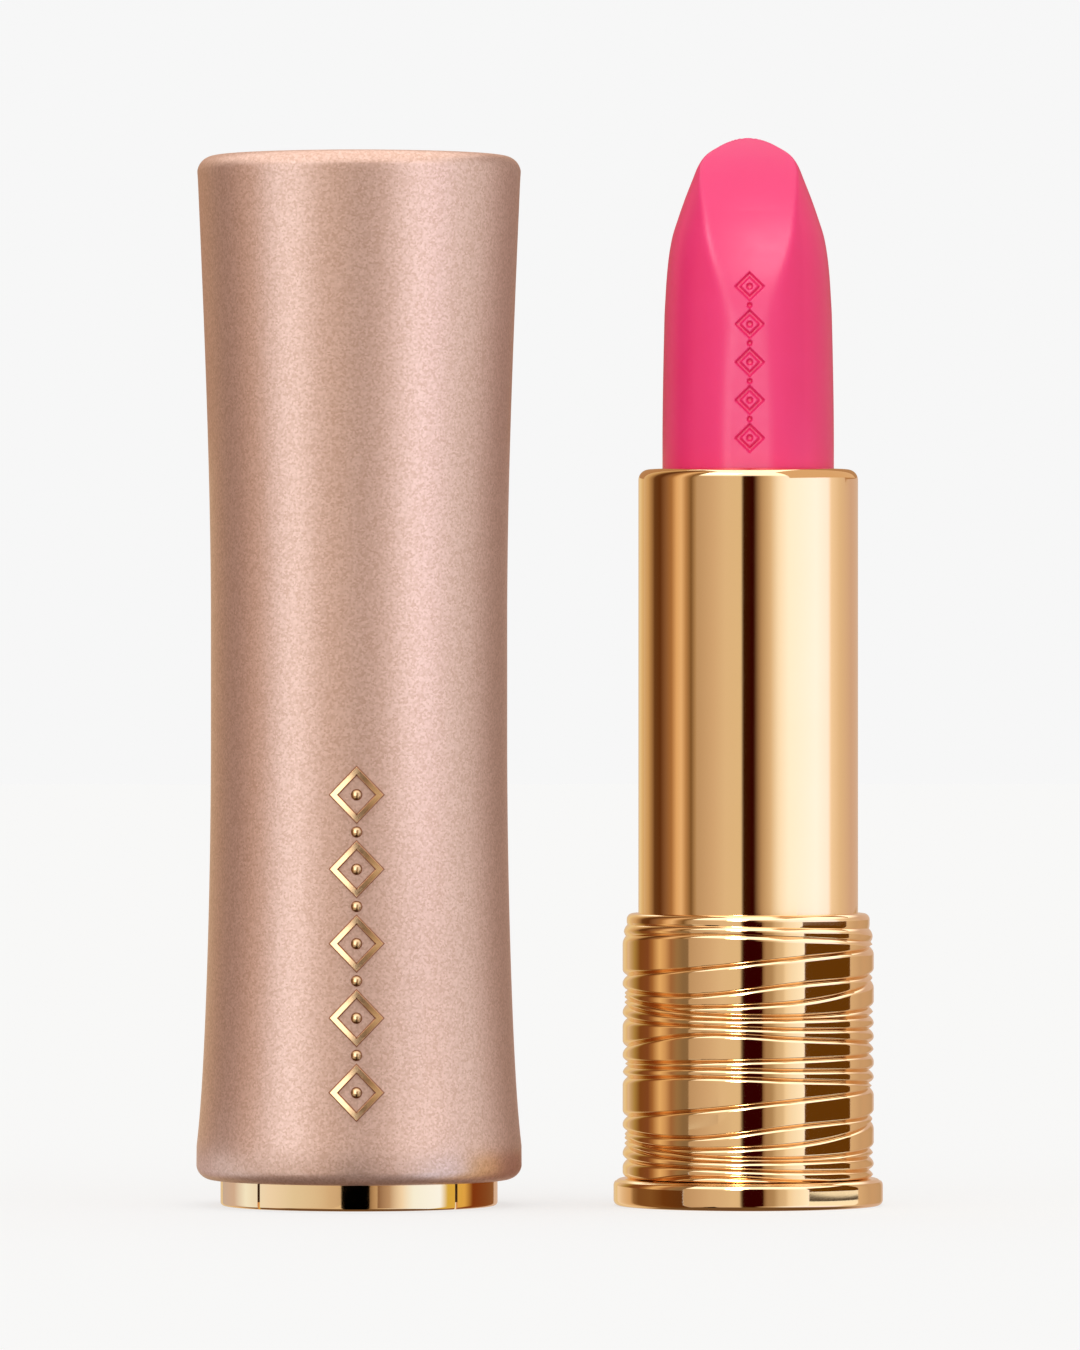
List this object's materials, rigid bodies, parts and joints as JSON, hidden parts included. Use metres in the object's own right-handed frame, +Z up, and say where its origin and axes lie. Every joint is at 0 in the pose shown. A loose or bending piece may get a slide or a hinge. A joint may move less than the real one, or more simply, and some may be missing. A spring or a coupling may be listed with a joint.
{
  "type": "lipstick case",
  "caption": "Twist-up lipstick case: wrapped gold base with a raised colour stick, and a waisted satin cap with a push button standing beside it.",
  "frame": {"origin": "centre of the ring that the base stands on", "axes": "+Z up along the base's axis, -Y towards the front of the case, and the cap stands beside the base at -X"},
  "size_m": [0.0484, 0.023, 0.0754],
  "materials": {
    "polished_gold": "polished, anodised gold colour",
    "satin_rose_metal": "satin rose-beige metallic with fine sparkle",
    "colour_stick": "soft satin wax, bright pink",
    "grey_plastic": "moulded, matte",
    "white_plastic": "moulded, matte",
    "steel": "plain",
    "silicone": "greased",
    "label_paper": "coated paper, blank"
  },
  "bodies": {
    "base": {"base_shell": "polished_gold", "base_insert": "grey_plastic", "base_weight": "steel", "bottom_plate": "polished_gold", "shade_label": "label_paper", "slotted_tube": "white_plastic", "retaining_ring": "steel"},
    "turning_tube": {"twist_tube": "polished_gold", "spiral_sleeve": "white_plastic", "glide_washer": "white_plastic", "friction_ring": "silicone"},
    "stick": {"bullet_cup": "white_plastic", "bullet": "colour_stick"},
    "cap": {"cap_sleeve": "satin_rose_metal", "cap_ornament": "polished_gold", "cap_collar": "polished_gold", "cap_liner": "grey_plastic", "button_spring": "steel"},
    "push_button": {"cap_button": "satin_rose_metal", "ejector_tube": "white_plastic"}
  },
  "joints": [
    {"name": "twist", "type": "hinge", "parent": "base", "child": "turning_tube", "pos_m": [0, 0, 0.03], "axis": [0, 0, 1], "range_deg": [0, 720]},
    {"name": "stick_rise", "type": "slide", "parent": "base", "child": "stick", "axis": [0, 0, 1], "range_m": [-0.0244, 0]},
    {"name": "cap_lift", "type": "slide", "parent": "base", "child": "cap", "axis": [0, 0, 1], "range_m": [0, 0.08]},
    {"name": "button_press", "type": "slide", "parent": "cap", "child": "push_button", "axis": [0, 0, -1], "range_m": [0, 0.0012], "stiffness_N_per_m": 1500, "springref_m": -0.002, "deforming": ["button_spring"]}
  ],
  "couplings": [
    {"joint": "stick_rise", "follows": "twist", "m_per_rad": -0.0019417}
  ]
}
